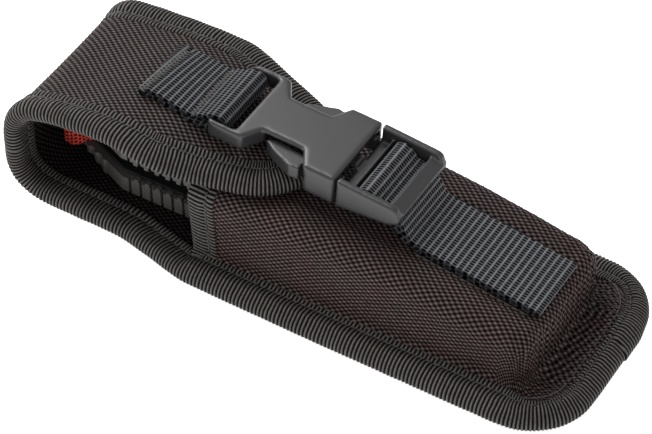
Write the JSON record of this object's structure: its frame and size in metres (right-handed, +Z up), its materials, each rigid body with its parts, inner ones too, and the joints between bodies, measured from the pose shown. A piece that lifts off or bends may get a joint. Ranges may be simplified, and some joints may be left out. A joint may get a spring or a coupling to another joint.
{
  "type": "multi tool in belt sheath",
  "caption": "Folding multi tool with ribbed grips in a padded belt sheath, with a bound fold-over flap, a boxed pocket, webbing straps and a side release buckle.",
  "frame": {"origin": "on the ground under the middle of the whole object's bounding box, with the sheath lying on its belt loop", "axes": "+X along the sheath from the fold to the foot of the pocket, +Y across it, +Z up out of the pocket's front"},
  "size_m": [0.206, 0.077, 0.0583],
  "materials": {
    "pouch_fabric": "coarse plain-woven nylon, dark warm charcoal",
    "binding_tape": "ribbed grosgrain tape, charcoal",
    "webbing": "ribbed nylon webbing, bluish charcoal",
    "thread": "bonded nylon thread, black",
    "stiffener_board": "plain sheet",
    "buckle_plastic": "moulded acetal, fine matte grain",
    "grip_plastic": "ribbed moulded grip, satin grey",
    "tool_steel": "satin stainless steel",
    "red_tape": "fine woven tape, red"
  },
  "bodies": {
    "pouch": {"back_panel": "pouch_fabric", "back_stiffener": "stiffener_board", "back_binding": "binding_tape", "pocket_shell": "pouch_fabric", "pocket_mouth_binding": "binding_tape", "belt_loop": "webbing", "belt_loop_tacks": "thread", "load_strap": "webbing", "strap_tail": "webbing", "load_strap_stitches": "thread"},
    "fold": {"fold_panel": "pouch_fabric", "fold_binding": "binding_tape"},
    "flap": {"flap_panel": "pouch_fabric", "flap_stiffener": "stiffener_board", "flap_binding": "binding_tape", "flap_strap": "webbing", "flap_strap_tacks": "thread"},
    "female_half": {"female_buckle": "buckle_plastic"},
    "male_half": {"male_buckle": "buckle_plastic", "bar_wrap": "webbing"},
    "near_prong": {"prong_near": "buckle_plastic"},
    "far_prong": {"prong_far": "buckle_plastic"},
    "tool": {"grip_lower": "grip_plastic", "grip_upper": "grip_plastic", "liner_lower": "tool_steel", "liner_upper": "tool_steel", "centre_spacer": "tool_steel", "main_blade": "tool_steel", "saw_blade": "tool_steel", "blade_pins": "tool_steel", "driver_pins": "tool_steel", "grip_screws": "tool_steel", "pull_loop": "red_tape"},
    "screwdriver_blade": {"screwdriver": "tool_steel"},
    "awl_blade": {"awl": "tool_steel"}
  },
  "joints": [
    {"name": "fold_hinge", "type": "hinge", "parent": "pouch", "child": "fold", "pos_m": [-0.09875, 0, 0.00985], "axis": [0, -1, 0], "range_deg": [0, 75]},
    {"name": "flap_hinge", "type": "hinge", "parent": "fold", "child": "flap", "pos_m": [-0.09875, 0, 0.04225], "axis": [0, -1, 0], "range_deg": [0, 75]},
    {"name": "female_swivel", "type": "hinge", "parent": "flap", "child": "female_half", "pos_m": [-0.03484, 0, 0.05436], "axis": [0, -1, 0], "range_deg": [0, 60]},
    {"name": "male_release", "type": "slide", "parent": "pouch", "child": "male_half", "axis": [0.9981, 0, -0.061], "range_m": [0, 0.03], "deforming": ["prong_near", "prong_far"]},
    {"name": "prong_near_squeeze", "type": "hinge", "parent": "male_half", "child": "near_prong", "pos_m": [0.00984, -0.0104, 0.04943], "axis": [-0.061, 0, -0.9981], "range_deg": [0, 5], "stiffness_Nm_per_rad": 0.3},
    {"name": "prong_far_squeeze", "type": "hinge", "parent": "male_half", "child": "far_prong", "pos_m": [0.00984, 0.0104, 0.04943], "axis": [0.061, 0, 0.9981], "range_deg": [0, 5], "stiffness_Nm_per_rad": 0.3},
    {"name": "tool_slide", "type": "slide", "parent": "pouch", "child": "tool", "axis": [-1, 0, 0], "range_m": [0, 0.012]},
    {"name": "screwdriver_swing", "type": "hinge", "parent": "tool", "child": "screwdriver_blade", "pos_m": [-0.074, -0.007, 0.0234], "axis": [0, 0, -1], "range_deg": [0, 95]},
    {"name": "awl_swing", "type": "hinge", "parent": "tool", "child": "awl_blade", "pos_m": [-0.074, 0.007, 0.0234], "axis": [0, 0, 1], "range_deg": [0, 95]}
  ],
  "couplings": [
    {"joint": "flap_hinge", "follows": "fold_hinge", "ratio": 1},
    {"joint": "tool_slide", "follows": "fold_hinge", "m_per_rad": 0.0091}
  ]
}
